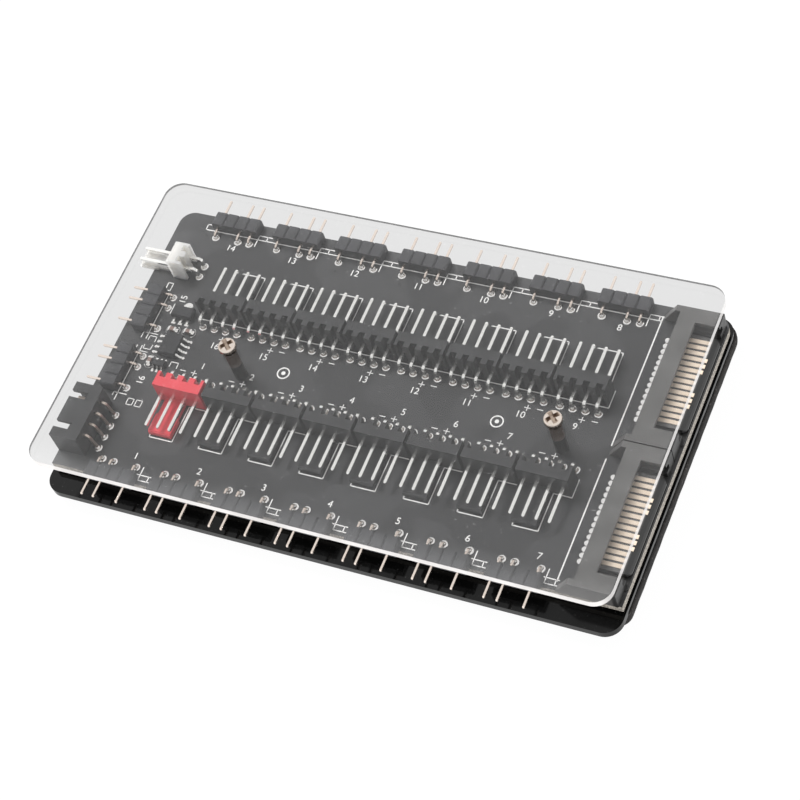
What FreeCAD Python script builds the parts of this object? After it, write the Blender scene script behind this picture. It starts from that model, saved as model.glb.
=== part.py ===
# Fan and light hub for a computer case: a black base plate on a foam pad, a circuit board
# full of right-angled headers, and a clear cover held above it by two long screws.
# Millimetres. The origin is the middle of the base plate, on the underside of the pad.
# +X points to the power plugs, +Y to the rear row of headers, +Z up.
import FreeCAD, Part
import os

from FreeCAD import Vector

os.makedirs("parts", exist_ok=True)

# Pins shared by all headers
pin_pitch = 2.54
pin_size = 0.64

# Fan headers: a wafer with a slot behind each of four pins, and a friction lock tongue
fan_count = 8
fan_ways = 4
fan_gap = 0.66
fan_first_pin_from_left = 16.4
fan_lock_place = 2
fan_lock_width = 4.9
fan_to_plug_gap = 3.57
fan_row_spacing = 12.3
lock_setback = 2.15
lock_depth = 3.2
lock_height = 5.4
lock_pin_height = 2.45
lock_pin_reach = 12.85
lock_slot_width = 1.3
lock_slot_depth = 1.15
lock_tongue_lead = 0.35
lock_tongue_thickness = 1.2
lock_neck_narrowing = 0.35
lock_neck_length = 3.6
lock_tip_bevel = 0.35

# Light headers: four places in a low strip, with one pin left out
light_ways = 4
light_pin_places = (0, 2, 3)
light_count = 7
light_gap = 3.74
light_rear_first_from_left = 9.5
light_front_first_from_left = 9.75
light_setback = 1.8
light_depth = 3.05
light_height = 2.2
light_pin_height = 1.05
light_pin_reach = 8.65
light_groove_width = 0.56
light_groove_depth = 0.3
light_end_bevel = 0.3
light_rear_inset = 0.14
light_front_overhang = 1.46

# Free ways for the cables, between a fan header's tongue and the pins of the light headers
rear_cable_way = 7.66
front_cable_way = 7.56

# Headers along the left edge: from the rear, the key header, two light headers and the input
side_light_count = 2
side_light_gap = 4.24
side_light_pins_from_left = 7.1
key_ways = 2
key_pins_from_left = 10.25
key_first_pin_from_rear = 12.25
key_lock_place = 0.5
key_lock_width = 3.6
key_to_light_gap = 3.49
light_to_input_gap = 3.82

# Four-pin input socket: a shroud with two guide slots in its roof
input_ways = 4
input_end_margin = 2.4
input_setback = 1.8
input_depth = 6.0
input_height = 5.7
input_wall = 0.8
input_back_wall = 1.3
input_slot_width = 1.5
input_slot_depth = 3.5
input_slot_spacing = 7.0
input_pin_height = 4.0
input_pin_lean = 0.8
input_pin_inset = 0.9

# Power plugs at the right edge
power_count = 2
power_gap = 0.26
power_first_from_rear = 1.86
power_contact_count = 15
power_contact_pitch = 1.27
power_front_inset = 0.1
power_lip = 0.5
power_lip_bevel = 0.4
power_shell_length = 30.2
power_shell_setback = 1.3
power_shell_depth = 8.1
power_shell_shift = 0.65
power_shell_height = 4.2
power_roof = 0.8
power_floor = 0.45
power_back_wall = 2.0
power_mouth_length = 25.0
power_mouth_bevel = 0.5
power_ledge_width = 1.3
power_window_length = 23.5
power_window_shift = 0.4
power_window_from_front = 5.2
power_tongue_length = 20.2
power_tongue_corner = 0.8
power_tongue_top = 1.85
power_tongue_thickness = 1.05
power_tongue_bevel = 0.35
power_key_width = 1.1
power_contact_width = 0.8
power_contact_thickness = 0.15
power_contact_inset = 1.6
power_long_contact_inset = 1.05
power_long_places = (3, 4, 5, 9, 10, 11)
power_gusset_thickness = 1.3
power_gusset_shoulder = 1.0
power_gusset_reach = 3.9

# Sheets: the board, and how far the others reach past it or past each other
board_thickness = 1.6
board_corner = 3.0
board_offset = 0.2
plate_thickness = 1.5
plate_corner = 3.5
plate_side_margin = 0.45
plate_rear_margin = 1.45
plate_front_margin = 4.55
pad_thickness = 3.0
pad_corner = 3.0
pad_side_margin = 0.35
pad_front_setback = 3.4
pad_edge_bevel = 0.7
cover_thickness = 1.5
cover_corner = 3.5
cover_right_overhang = 0.4
cover_rear_overhang = 0.25
cover_front_overhang = 4.95
board_gap = 1.0
cover_gap = 8.1

# Two long screws, the posts round them and the nuts that are bonded to the plate
screw_from_first_pin = 12.5
screw_spacing = 66.8
screw_row_offset = 8.5
screw_diameter = 1.7
screw_hole_clearance = 0.3
head_diameter = 3.6
head_height = 1.05
post_diameter = 2.55
nut_across_flats = 4.0
thread_clearance = 0.04
screw_end_clearance = 0.1

# Chips, each placed by its distance left of the first fan pin and in front of the rear fan row
driver_place = (4.2, 5.9)
driver_length = 4.9
driver_depth = 3.9
driver_height = 1.55
driver_span = 6.2
driver_lead_count = 4
driver_lead_pitch = 1.27
driver_lead_width = 0.42
switch_place = (4.95, 10.45)
switch_length = 2.9
switch_depth = 1.4
switch_height = 1.1
switch_span = 2.8
switch_lead_count = 3
switch_lead_pitch = 0.95
switch_lead_width = 0.4
regulator_place = (5.1, -1.75)
regulator_length = 4.5
regulator_depth = 2.45
regulator_height = 1.5
regulator_span = 4.2
regulator_lead_count = 3
regulator_lead_pitch = 1.5
regulator_lead_width = 0.45
regulator_lead_thickness = 0.4
regulator_tab_width = 1.7
chip_standoff = 0.1
chip_draft = 0.15
lead_thickness = 0.2

# Ceramic capacitors: the same two distances, then the turn
capacitor_places = ((5.9, 2.15, 0), (2.4, 1.9, 0), (7.25, 10.05, 90))
capacitor_length = 1.6
capacitor_width = 0.85
capacitor_height = 0.8

# Lengths that follow from the sizes above
fan_pitch = fan_ways * pin_pitch + fan_gap
light_pitch = light_ways * pin_pitch + light_gap
side_light_pitch = light_ways * pin_pitch + side_light_gap
tongue_reach = lock_pin_reach + lock_tongue_lead
light_front = light_setback + light_depth
input_pins_from_left = input_setback + input_depth
power_pitch = power_shell_length + power_gap
power_front = power_shell_setback + power_shell_depth + power_lip
power_rows_from_right = power_front + power_front_inset
fan_row_end = fan_first_pin_from_left + (fan_count - 1) * fan_pitch + (fan_ways - 0.5) * pin_pitch

# Distances from the rear edge of the board, one row of headers after the other
rear_lights_from_rear = light_front + light_rear_inset
rear_fans_from_rear = rear_lights_from_rear + rear_cable_way + tongue_reach
front_fans_from_rear = rear_fans_from_rear + fan_row_spacing
front_lights_from_rear = front_fans_from_rear + tongue_reach + front_cable_way
side_lights_from_rear = key_first_pin_from_rear + key_ways * pin_pitch + key_to_light_gap
input_from_rear = side_lights_from_rear + (
    (side_light_count - 1) * side_light_pitch + light_ways * pin_pitch + light_to_input_gap)

# Outlines and levels of the sheets
board_length = fan_row_end + fan_to_plug_gap + (
    power_gusset_reach - power_shell_setback + power_rows_from_right)
board_width = front_lights_from_rear + light_front - light_front_overhang
plate_length = board_length + 2 * plate_side_margin
plate_width = board_width + plate_rear_margin + plate_front_margin
plate_rear = plate_width / 2
board_left = board_offset - board_length / 2
board_right = board_left + board_length
board_rear = plate_rear - plate_rear_margin
board_front = board_rear - board_width
plate_bottom = pad_thickness
plate_top = plate_bottom + plate_thickness
board_bottom = plate_top + board_gap
board_top = board_bottom + board_thickness
cover_bottom = board_top + cover_gap
cover_top = cover_bottom + cover_thickness
first_fan_pin = board_left + fan_first_pin_from_left
screw_y = board_rear - rear_fans_from_rear - screw_row_offset
screw_sites = [(first_fan_pin + screw_from_first_pin + i * screw_spacing, screw_y) for i in range(2)]


def save(name, shapes):
    """Writes one sub-part, which may be several like solids."""
    shapes = shapes if isinstance(shapes, list) else [shapes]
    shape = shapes[0] if len(shapes) == 1 else Part.makeCompound(shapes)
    shape.exportStep("parts/" + name + ".step")


def place(shape, site):
    """Turns a piece about its own upright axis and stands it on the board at a site."""
    x, y, turn = site
    copy = shape.copy()
    copy.rotate(Vector(0, 0, 0), Vector(0, 0, 1), turn)
    copy.translate(Vector(x, y, board_top))
    return copy


def shifted(shape, x, y=0, z=0):
    copy = shape.copy()
    copy.translate(Vector(x, y, z))
    return copy


def centred_row(pitch, count):
    """Evenly spaced places with their middle at zero."""
    return [(i - (count - 1) / 2) * pitch for i in range(count)]


def row(first, pitch, count):
    return [first + i * pitch for i in range(count)]


def box(x0, x1, y0, y1, z0, z1):
    return Part.makeBox(x1 - x0, y1 - y0, z1 - z0, Vector(x0, y0, z0))


def cylinder(x, y, z0, z1, diameter):
    return Part.makeCylinder(diameter / 2, z1 - z0, Vector(x, y, z0))


def prism(points, direction):
    """A solid whose outline goes straight from point to point."""
    outline = [Vector(*p) for p in points]
    return Part.Face(Part.makePolygon(outline + outline[:1])).extrude(Vector(*direction))


def side_profile(points, x0, x1):
    """A prism along X with its outline given as (y, z) points."""
    return prism([(x0, y, z) for y, z in points], (x1 - x0, 0, 0))


def front_profile(points, y0, y1):
    """A prism along Y with its outline given as (x, z) points."""
    return prism([(x, y0, z) for x, z in points], (0, y1 - y0, 0))


def plan_profile(points, z0, z1):
    """A prism along Z with its outline given as (x, y) points."""
    return prism([(x, y, z0) for x, y in points], (0, 0, z1 - z0))


def edges_along(body, axis):
    """The straight edges of a body that run along one axis."""
    found = []
    for edge in body.Edges:
        step = edge.Vertexes[-1].Point - edge.Vertexes[0].Point
        if step.Length > 0 and abs(step.dot(axis)) > 0.999 * step.Length:
            found.append(edge)
    return found


def sheet(left, right, front, rear, z0, z1, front_corner, rear_corner):
    """A flat sheet with its front and rear corners rounded, where a radius is given."""
    body = box(left, right, front, rear, z0, z1)
    middle = (front + rear) / 2
    for side, corner in ((-1, front_corner), (1, rear_corner)):
        if corner > 0:
            uprights = edges_along(body, Vector(0, 0, 1))
            reach = max(side * (e.CenterOfMass.y - middle) for e in uprights)
            outermost = [e for e in uprights if side * (e.CenterOfMass.y - middle) > 0.999 * reach]
            body = body.makeFillet(corner, outermost)
    return body


def bored_at_screws(body, z0, z1):
    hole = screw_diameter + screw_hole_clearance
    return body.cut([cylinder(x, y, z0, z1, hole) for x, y in screw_sites])


def mounting_pad():
    """The foam pad, flush with the plate behind, with its lower rim bevelled."""
    half = plate_length / 2 + pad_side_margin
    front = -plate_width / 2 + pad_front_setback
    body = sheet(-half, half, front, plate_rear, 0, plate_bottom, pad_corner, pad_corner)
    lowest = body.BoundBox.ZMin
    rim = [e for e in body.Edges if e.BoundBox.ZMax < lowest + pad_edge_bevel / 2]
    return body.makeChamfer(pad_edge_bevel, rim)


def base_plate():
    """The plain plate under the board."""
    half = plate_length / 2
    return sheet(-half, half, -plate_width / 2, plate_rear, plate_bottom, plate_top,
                 plate_corner, plate_corner)


def circuit_board():
    """The board, with its rear corners rounded and its front corners cut square."""
    body = sheet(board_left, board_right, board_front, board_rear, board_bottom, board_top,
                 0, board_corner)
    return bored_at_screws(body, board_bottom, board_top)


def clear_cover():
    """The clear cover, flush with the board at the left and past it on the other sides."""
    body = sheet(board_left, board_right + cover_right_overhang, board_front - cover_front_overhang,
                 board_rear + cover_rear_overhang, cover_bottom, cover_top,
                 cover_corner, cover_corner)
    return bored_at_screws(body, cover_bottom, cover_top)


def long_screw():
    """A long screw, turned as one profile, from its flat head to its end in the nut."""
    head, shank, end = head_diameter / 2, screw_diameter / 2, plate_top + screw_end_clearance
    outline = [
        (0, end), (shank, end), (shank, cover_top), (head, cover_top),
        (head, cover_top + head_height), (0, cover_top + head_height),
    ]
    points = [Vector(x, 0, z) for x, z in outline]
    face = Part.Face(Part.makePolygon(points + points[:1]))
    return face.revolve(Vector(0, 0, 0), Vector(0, 0, 1), 360)


def support_post():
    """A round post between the board and the cover, with room for the screw."""
    bore = cylinder(0, 0, board_top, cover_bottom, screw_diameter + screw_hole_clearance)
    return cylinder(0, 0, board_top, cover_bottom, post_diameter).cut(bore)


def spacer_nut():
    """A hexagon nut on the plate, which carries the board."""
    corner = nut_across_flats / 3 ** 0.5
    turn = FreeCAD.Rotation(Vector(0, 0, 1), 60)
    points = [Vector(corner, 0, plate_top)]
    for _ in range(5):
        points.append(turn.multVec(points[-1]))
    body = prism(points, (0, 0, board_gap))
    return body.cut(cylinder(0, 0, plate_top, board_bottom, screw_diameter + thread_clearance))


def bent_pin(reach, height, lean=0):
    """A square pin: it stands on its solder, bends over and points forward."""
    h = pin_size / 2
    low, high = height - h, height + h
    if lean == 0:
        outline = [(-h, 0), (h, 0), (h, low), (reach, low), (reach, high), (-h, high)]
    else:
        outline = [(-h, 0), (h, 0), (lean + h, low), (reach, low), (reach, high), (lean - h, high)]
    return side_profile(outline, -h, h)


def pin_bores(places, height, y0, y1):
    """The square holes in a housing that its pins are pressed through."""
    h = pin_size / 2
    return [
        box(p * pin_pitch - h, p * pin_pitch + h, y0, y1, height - h, height + h) for p in places
    ]


def header_ends(ways):
    return -pin_pitch / 2, (ways - 0.5) * pin_pitch


def lock_tongue(centre, width, front):
    """The friction lock: a flat tongue with a neck at the wafer and a bevelled tip."""
    head = width / 2
    neck = head - lock_neck_narrowing
    step = front + lock_neck_length
    half = [(neck, front), (neck, step), (head, step + lock_neck_narrowing), (head, tongue_reach)]
    outline = [(centre - x, y) for x, y in half] + [(centre + x, y) for x, y in reversed(half)]
    tongue = plan_profile(outline, 0, lock_tongue_thickness)
    across = edges_along(tongue, Vector(1, 0, 0))
    tip = max(across, key=lambda e: e.CenterOfMass.y + e.CenterOfMass.z)
    return tongue.makeChamfer(lock_tip_bevel, [tip])


def lock_header(ways, lock_place, lock_width):
    """A right-angled header: a wafer with a slot behind each pin, and its lock tongue."""
    left, right = header_ends(ways)
    rear, front = lock_setback, lock_setback + lock_depth
    outline = [(left, front), (left, rear)]
    for i in range(ways):
        slot_left = i * pin_pitch - lock_slot_width / 2
        slot_right = slot_left + lock_slot_width
        slot_end = rear + lock_slot_depth
        outline += [(slot_left, rear), (slot_left, slot_end), (slot_right, slot_end), (slot_right, rear)]
    outline += [(right, rear), (right, front)]
    wafer = plan_profile(outline, 0, lock_height)
    tongue = lock_tongue(lock_place * pin_pitch, lock_width, front)
    bores = pin_bores(range(ways), lock_pin_height, rear, front)
    return wafer.fuse(tongue).removeSplitter().cut(bores)


def light_header():
    """A break-off strip of four places, notched between them."""
    left, right = header_ends(light_ways)
    top, bevel = light_height, light_end_bevel
    outline = [(left, 0), (left, top - bevel), (left + bevel, top)]
    for i in range(1, light_ways):
        notch = left + i * pin_pitch
        outline += [
            (notch - light_groove_width / 2, top), (notch, top - light_groove_depth),
            (notch + light_groove_width / 2, top),
        ]
    outline += [(right - bevel, top), (right, top - bevel), (right, 0)]
    strip = front_profile(outline, light_setback, light_front)
    return strip.cut(pin_bores(light_pin_places, light_pin_height, light_setback, light_front))


def input_socket():
    """The input socket: a shroud open in front, with two guide slots in its roof."""
    middle = (input_ways - 1) * pin_pitch / 2
    half = middle + input_end_margin
    inner = half - input_wall
    rear, front, top = input_setback, input_pins_from_left, input_height
    shroud = box(middle - half, middle + half, rear, front, 0, top)
    hollow = box(middle - inner, middle + inner, rear + input_back_wall, front,
                 input_wall, top - input_wall)
    slots = [
        box(middle + x - input_slot_width / 2, middle + x + input_slot_width / 2,
            front - input_slot_depth, front, top - input_wall, top)
        for x in centred_row(input_slot_spacing, 2)
    ]
    bores = pin_bores(range(input_ways), input_pin_height, rear, rear + input_back_wall)
    return shroud.cut([hollow] + slots + bores)


def power_contacts():
    """Fifteen flat blades that lie side by side on the tongue."""
    rear, half = power_shell_setback + power_back_wall, power_contact_width / 2
    blades = []
    for i, x in enumerate(centred_row(power_contact_pitch, power_contact_count)):
        inset = power_long_contact_inset if i in power_long_places else power_contact_inset
        blades.append(box(x - half, x + half, rear, power_front - inset,
                          power_tongue_top, power_tongue_top + power_contact_thickness))
    return blades


def power_tongue(inner):
    """The tongue that carries the blades, with the key that drops from one end of it."""
    bottom, top = power_tongue_top - power_tongue_thickness, power_tongue_top
    bevel, corner, front = power_tongue_bevel, power_tongue_corner, power_front
    left, right = -power_tongue_length / 2, power_tongue_length / 2
    outline = [
        (inner, bottom), (front - bevel, bottom), (front, bottom + bevel), (front, top - bevel),
        (front - bevel, top), (inner, top),
    ]
    plan = [
        (left, inner), (left, front - corner), (left + corner, front), (right - corner, front),
        (right, front - corner), (right, inner),
    ]
    blade = side_profile(outline, left, right).common(plan_profile(plan, bottom, top))
    key = box(left, left + power_key_width, inner, front - corner, power_floor, bottom)
    return [blade, key]


def power_shell(shell_front, inner):
    """The shell, with its mouth bevelled at the corners and a window in its roof."""
    left = power_shell_shift - power_shell_length / 2
    half, top, bevel = power_mouth_length / 2, power_shell_height - power_roof, power_mouth_bevel
    floor = power_floor
    mouth = front_profile(
        [
            (-half, floor), (half, floor), (half, top - bevel), (half - bevel, top),
            (bevel - half, top), (-half, top - bevel),
        ],
        inner, shell_front,
    )
    window_left = power_window_shift - power_window_length / 2
    window = box(window_left, window_left + power_window_length,
                 power_front - power_window_from_front, shell_front,
                 power_tongue_top, power_shell_height)
    shell = box(left, left + power_shell_length, power_shell_setback, shell_front,
                0, power_shell_height)
    return shell.cut([mouth, window])


def power_lip_plate(shell_front):
    """The floor of the mouth, which reaches a little further forward than the shell."""
    half, front, bevel = power_mouth_length / 2, power_front, power_lip_bevel
    plan = [
        (-half, shell_front), (-half, front - bevel), (bevel - half, front),
        (half - bevel, front), (half, front - bevel), (half, shell_front),
    ]
    return plan_profile(plan, 0, power_floor)


def power_gussets():
    """A sloped gusset behind each end of the shell."""
    rear, top = power_shell_setback, power_shell_height
    outline = [
        (rear, 0), (rear, top), (rear - power_gusset_shoulder, top), (rear - power_gusset_reach, 0),
    ]
    left = power_shell_shift - power_shell_length / 2
    right = left + power_shell_length - power_gusset_thickness
    return [side_profile(outline, x, x + power_gusset_thickness) for x in (left, right)]


def power_ledges(inner, shell_front):
    """A low ledge at each end of the mouth, under the slot for the mating plug's arm."""
    half, width = power_mouth_length / 2, power_ledge_width
    return [
        box(x, x + width, inner, shell_front, power_floor, power_tongue_top)
        for x in (-half, half - width)
    ]


def power_plug():
    """A power plug: a shell, a keyed tongue, a lip, two ledges and two gussets in one piece."""
    shell_front = power_front - power_lip
    inner = power_shell_setback + power_back_wall
    added = power_tongue(inner) + power_ledges(inner, shell_front) + power_gussets()
    added.append(power_lip_plate(shell_front))
    return power_shell(shell_front, inner).fuse(added).removeSplitter()


def chip_body(length, depth, height):
    """A moulded chip with drafted sides, widest at its waist, clear of the board."""
    sections = []
    waist = (chip_standoff + height) / 2
    for z, inset in ((chip_standoff, chip_draft), (waist, 0), (height, chip_draft)):
        x, y = length / 2 - inset, depth / 2 - inset
        corners = [Vector(-x, -y, z), Vector(x, -y, z), Vector(x, y, z), Vector(-x, y, z)]
        sections.append(Part.makePolygon(corners + corners[:1]))
    return Part.makeLoft(sections, True, True)


def lead_rows(depth, height, span, count, pitch, width):
    """Two rows of leads that slope down from a chip's waist to feet on the board."""
    t = lead_thickness
    waist = (chip_standoff + height) / 2
    root = depth / 2 - chip_draft * t / (height - waist)
    bend = (depth + span) / 4
    outline = [
        (depth / 2, waist), (bend, 0), (span / 2, 0), (span / 2, t), (bend + t / 2, t),
        (root, waist + t),
    ]
    lead = side_profile(outline, -width / 2, width / 2)
    across = lead.copy()
    across.rotate(Vector(0, 0, 0), Vector(0, 0, 1), 180)
    return [shifted(piece, x) for piece in (lead, across) for x in centred_row(pitch, count)]


def regulator_leads():
    """Three flat leads in front of the regulator and its wide tab behind."""
    near, far, t = regulator_depth / 2, regulator_span / 2, regulator_lead_thickness
    half = regulator_lead_width / 2
    leads = [
        box(x - half, x + half, -far, -near, 0, t)
        for x in centred_row(regulator_lead_pitch, regulator_lead_count)
    ]
    return leads + [box(-regulator_tab_width / 2, regulator_tab_width / 2, near, far, 0, t)]


def rear_site(first_x, from_rear):
    """A header that points to the rear, with its first pin at the left."""
    return (first_x, board_rear - from_rear, 0)


def front_site(first_x, from_rear, ways):
    """The same header turned round to point to the front."""
    return (first_x + (ways - 1) * pin_pitch, board_rear - from_rear, 180)


def left_site(from_left, first_from_rear, ways):
    """The same header turned to point to the left, with its first pin to the rear."""
    return (board_left + from_left, board_rear - first_from_rear - (ways - 1) * pin_pitch, 90)


def chip_site(left_of_first_pin, before_rear_fans, turn=0):
    y = board_rear - rear_fans_from_rear - before_rear_fans
    return (first_fan_pin - left_of_first_pin, y, turn)


def header_pins(sites, places, pin):
    return [place(shifted(pin, p * pin_pitch), site) for site in sites for p in places]


def fan_headers():
    """Numbers 1 to 8 face the front from the left, 9 to 16 face the rear from the right."""
    columns = row(first_fan_pin, fan_pitch, fan_count)
    front = [front_site(x, front_fans_from_rear, fan_ways) for x in columns]
    rear = [rear_site(x, rear_fans_from_rear) for x in reversed(columns)]
    header = lock_header(fan_ways, fan_lock_place, fan_lock_width)
    for number, site in enumerate(front + rear, 1):
        save("fan_header_%d" % number, place(header, site))
    pin = bent_pin(lock_pin_reach, lock_pin_height)
    save("fan_pins_front", header_pins(front, range(fan_ways), pin))
    save("fan_pins_rear", header_pins(rear, range(fan_ways), pin))


def light_headers():
    """Numbers 1 to 7 lie along the front, 8 to 14 along the rear, the last two at the left."""
    front_row = row(board_left + light_front_first_from_left, light_pitch, light_count)
    rear_row = row(board_left + light_rear_first_from_left, light_pitch, light_count)
    side_row = row(side_lights_from_rear, side_light_pitch, side_light_count)
    front = [front_site(x, front_lights_from_rear, light_ways) for x in front_row]
    rear = [rear_site(x, rear_lights_from_rear) for x in reversed(rear_row)]
    left = [left_site(side_light_pins_from_left, y, light_ways) for y in side_row]
    header = light_header()
    for number, site in enumerate(front + rear + left, 1):
        save("light_header_%d" % number, place(header, site))
    pin = bent_pin(light_pin_reach, light_pin_height)
    for name, sites in (("front", front), ("rear", rear), ("left", left)):
        save("light_pins_" + name, header_pins(sites, light_pin_places, pin))


def key_header():
    site = left_site(key_pins_from_left, key_first_pin_from_rear, key_ways)
    save("key_header", place(lock_header(key_ways, key_lock_place, key_lock_width), site))
    pin = bent_pin(lock_pin_reach, lock_pin_height)
    save("key_pins", header_pins([site], range(key_ways), pin))


def input_connector():
    site = left_site(input_pins_from_left, input_from_rear, input_ways)
    save("input_socket", place(input_socket(), site))
    pin = bent_pin(input_pins_from_left - input_pin_inset, input_pin_height, input_pin_lean)
    save("input_pins", header_pins([site], range(input_ways), pin))


def power_plugs():
    plug, contacts = power_plug(), power_contacts()
    first = power_first_from_rear + power_shell_length / 2 - power_shell_shift
    for number, from_rear in enumerate(row(first, power_pitch, power_count), 1):
        site = (board_right - power_rows_from_right, board_rear - from_rear, -90)
        save("power_plug_%d" % number, place(plug, site))
        save("power_contacts_%d" % number, [place(contact, site) for contact in contacts])


def chips():
    driver, switch = chip_site(*driver_place, 90), chip_site(*switch_place)
    regulator = chip_site(*regulator_place)
    save("driver_chip", place(chip_body(driver_length, driver_depth, driver_height), driver))
    save("switch_chip", place(chip_body(switch_length, switch_depth, switch_height), switch))
    save("regulator", place(chip_body(regulator_length, regulator_depth, regulator_height), regulator))
    driver_leads = lead_rows(driver_depth, driver_height, driver_span, driver_lead_count,
                             driver_lead_pitch, driver_lead_width)
    switch_leads = lead_rows(switch_depth, switch_height, switch_span, switch_lead_count,
                             switch_lead_pitch, switch_lead_width)
    leads = [place(lead, driver) for lead in driver_leads]
    leads += [place(lead, switch) for lead in switch_leads]
    leads += [place(lead, regulator) for lead in regulator_leads()]
    save("chip_leads", leads)


def capacitors():
    x, y = capacitor_length / 2, capacitor_width / 2
    block = box(-x, x, -y, y, 0, capacitor_height)
    save("capacitors", [place(block, chip_site(*at)) for at in capacitor_places])


save("mounting_pad", mounting_pad())
save("base_plate", base_plate())
save("circuit_board", circuit_board())
save("clear_cover", clear_cover())
save("cover_screws", [shifted(long_screw(), x, y) for x, y in screw_sites])
save("support_posts", [shifted(support_post(), x, y) for x, y in screw_sites])
save("spacer_nuts", [shifted(spacer_nut(), x, y) for x, y in screw_sites])
fan_headers()
light_headers()
key_header()
input_connector()
power_plugs()
chips()
capacitors()
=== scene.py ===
import math

import bmesh
import bpy
from mathutils import Matrix, Vector


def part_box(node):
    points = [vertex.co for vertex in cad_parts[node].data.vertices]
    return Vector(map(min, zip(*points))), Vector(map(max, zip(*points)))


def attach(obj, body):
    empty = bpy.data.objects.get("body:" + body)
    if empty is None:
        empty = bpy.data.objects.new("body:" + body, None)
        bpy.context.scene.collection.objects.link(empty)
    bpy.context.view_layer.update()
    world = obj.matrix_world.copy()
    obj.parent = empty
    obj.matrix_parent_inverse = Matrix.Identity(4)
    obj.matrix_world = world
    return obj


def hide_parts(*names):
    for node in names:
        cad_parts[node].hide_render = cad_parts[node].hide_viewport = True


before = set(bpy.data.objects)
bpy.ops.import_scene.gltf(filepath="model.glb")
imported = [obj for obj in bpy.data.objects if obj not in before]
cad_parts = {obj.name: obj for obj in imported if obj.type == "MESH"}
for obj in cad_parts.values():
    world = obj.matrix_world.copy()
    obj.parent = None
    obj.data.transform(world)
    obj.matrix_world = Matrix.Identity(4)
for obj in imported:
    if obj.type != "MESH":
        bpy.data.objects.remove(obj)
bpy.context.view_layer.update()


# Mounting pad: closed-cell foam, cut from a sheet and stuck to the base plate.
# Its cells are cut open at the sides, which are dull and pitted, and its lower rim is pressed round.
MM = 0.001
PAD_CORNER, PAD_POINT_SPACING = 3.0 * MM, 0.8 * MM
# The pad's side, from its rim on the table to the base plate: (inset in mm, share of the height).
PAD_SIDE = ((0.95, 0.0), (0.62, 0.03), (0.34, 0.1), (0.14, 0.22), (0.05, 0.38), (0.0, 0.55), (0.03, 0.72),
            (0.02, 0.86), (0.1, 0.97), (0.3, 1.0))
KNIFE_WAVE_MM = 0.03
# The Mix node has sockets of the same name for numbers and colours, so its colours go by their place.
SHARE, FIRST, SECOND, MIXED = 0, 6, 7, 2
# How much each finer layer of a noise counts.
FINER_SHARE = 0.55


def linear(colour):
    """The linear colour of an sRGB hex value."""
    parts = [int(colour[i:i + 2], 16) / 255 for i in (1, 3, 5)]
    return tuple(c / 12.92 if c <= 0.04045 else ((c + 0.055) / 1.055) ** 2.4 for c in parts) + (1.0,)


def add_node(material, kind, inputs=None, **settings):
    """Adds a node with its settings and links.

    An input is a value, an sRGB hex colour, another node's output, or a node, for its first output.
    """
    tree = material.node_tree
    node = tree.nodes.new(kind)
    for name, value in settings.items():
        setattr(node, name, value)
    for name, value in (inputs or {}).items():
        if isinstance(value, bpy.types.Node):
            value = value.outputs[0]
        if isinstance(value, bpy.types.NodeSocket):
            tree.links.new(value, node.inputs[name])
        else:
            node.inputs[name].default_value = linear(value) if isinstance(value, str) else value
    return node


def new_material(name):
    """A material with nothing in its tree yet."""
    material = bpy.data.materials.new(name)
    material.use_nodes = True
    material.node_tree.nodes.clear()
    return material


def patches(material, size_mm, low=0.0, high=1.0, to_low=0.0, to_high=1.0, detail=1.0):
    """A pattern of soft patches about this large, from a noise that is cut at two levels."""
    lumps = add_node(material, "ShaderNodeTexNoise", {
        "Vector": add_node(material, "ShaderNodeTexCoord").outputs["Object"],
        "Scale": 1 / (size_mm * MM), "Detail": detail, "Roughness": FINER_SHARE,
    })
    return add_node(material, "ShaderNodeMapRange", {
        "Value": lumps, "From Min": low, "From Max": high, "To Min": to_low, "To Max": to_high,
    })


def mottle(material, size_mm, dark, light, low=0.0, high=1.0, detail=1.0):
    """Two shades that run into each other in patches about this large."""
    return add_node(material, "ShaderNodeMix", {
        SHARE: patches(material, size_mm, low, high, detail=detail), FIRST: dark, SECOND: light,
    }, data_type="RGBA").outputs[MIXED]


def finish_piece(name, mesh, material, smooth=False):
    """Turns a bmesh into a piece of the object that rides on its body."""
    bmesh.ops.recalc_face_normals(mesh, faces=mesh.faces)
    data = bpy.data.meshes.new(name)
    mesh.to_mesh(data)
    mesh.free()
    for face in data.polygons:
        face.use_smooth = smooth
    data.materials.append(material)
    piece = bpy.data.objects.new(name, data)
    bpy.context.scene.collection.objects.link(piece)
    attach(piece, "root")
    return piece


def bridge(mesh, loops):
    """Joins each loop of corners to the next by faces, and closes the first and the last."""
    for lower, upper in zip(loops, loops[1:]):
        for k in range(len(lower)):
            j = (k + 1) % len(lower)
            mesh.faces.new((lower[k], lower[j], upper[j], upper[k]))
    mesh.faces.new(list(reversed(loops[0])))
    mesh.faces.new(loops[-1])


def rounded_outline(lo, hi, radius, spacing, steps=10):
    """Points round a rectangle with rounded corners, with more points along its straight sides."""
    points = []
    middles = ((hi.x - radius, hi.y - radius), (lo.x + radius, hi.y - radius),
               (lo.x + radius, lo.y + radius), (hi.x - radius, lo.y + radius))
    for quarter, (mx, my) in enumerate(middles):
        for i in range(steps + 1):
            turn = math.pi / 2 * (quarter + i / steps)
            points.append(Vector((mx + radius * math.cos(turn), my + radius * math.sin(turn))))
    full = []
    for a, b in zip(points, points[1:] + points[:1]):
        parts = max(1, round((b - a).length / spacing))
        full += [a.lerp(b, i / parts) for i in range(parts)]
    return full


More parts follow.
